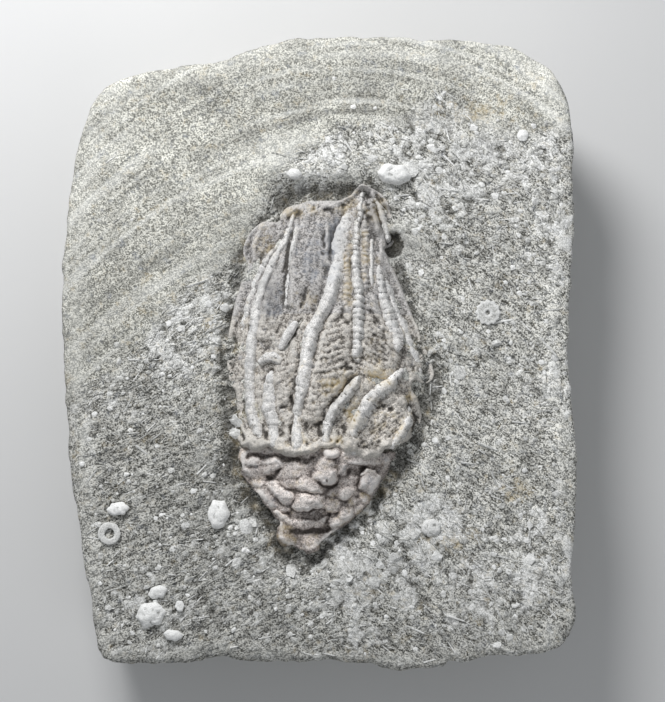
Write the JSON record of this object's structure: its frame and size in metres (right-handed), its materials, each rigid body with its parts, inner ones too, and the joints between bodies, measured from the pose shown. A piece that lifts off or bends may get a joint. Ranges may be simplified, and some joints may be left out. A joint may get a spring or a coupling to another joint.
{
  "type": "crinoid fossil",
  "caption": "Fossil crinoid crown with a knobbly cup and long jointed arms, standing proud of a small rough limestone slab that lies on its flat back.",
  "frame": {"origin": "on the flat back, under the middle of the slab", "axes": "+Y along the crown from cup to arm tips, +X to the right seen from the display face, +Z out of the display face"},
  "size_m": [0.0926, 0.115, 0.0285],
  "materials": {
    "matrix_limestone": "rough broken limestone, speckled with shell hash",
    "arm_calcite": "dull pale calcite, fine pits",
    "cup_calcite": "dull mauve to tan calcite",
    "sac_calcite": "smooth grey calcite",
    "pinnule_calcite": "fine beaded calcite with ochre stain",
    "loose_calcite": "pale chalky calcite"
  },
  "bodies": {
    "root": {"matrix_slab": "matrix_limestone", "calyx": "cup_calcite", "arm_left_outer": "arm_calcite", "arm_left_main": "arm_calcite", "arm_left_short": "arm_calcite", "arm_left_fork": "arm_calcite", "arm_left_ridge": "arm_calcite", "arm_centre": "arm_calcite", "arm_middle_upper": "arm_calcite", "arm_middle_lower": "arm_calcite", "arm_right_thread": "arm_calcite", "arm_right_inner": "arm_calcite", "arm_right_outer": "arm_calcite", "arm_right_lower": "arm_calcite", "arm_right_rim": "arm_calcite", "arm_top_hood": "arm_calcite", "spine_splinter": "arm_calcite", "plate_flap": "sac_calcite", "sac_wall_left": "sac_calcite", "sac_wall_middle": "sac_calcite", "sac_wall_right": "sac_calcite", "pinnules_left": "pinnule_calcite", "pinnules_middle": "pinnule_calcite", "pinnules_right": "pinnule_calcite", "pinnules_lobe": "pinnule_calcite", "columnal_ring": "loose_calcite", "columnal_toothed": "loose_calcite", "fragment_top_oval": "loose_calcite", "fragment_top_bean": "loose_calcite", "fragment_left_oval": "loose_calcite", "fragment_foot_oval": "loose_calcite", "fragment_corner_large": "loose_calcite", "fragment_corner_upper": "loose_calcite", "fragment_corner_right": "loose_calcite", "fragment_corner_lower": "loose_calcite", "fragment_edge_oval": "loose_calcite", "fragment_upper_right": "loose_calcite"}
  },
  "joints": []
}
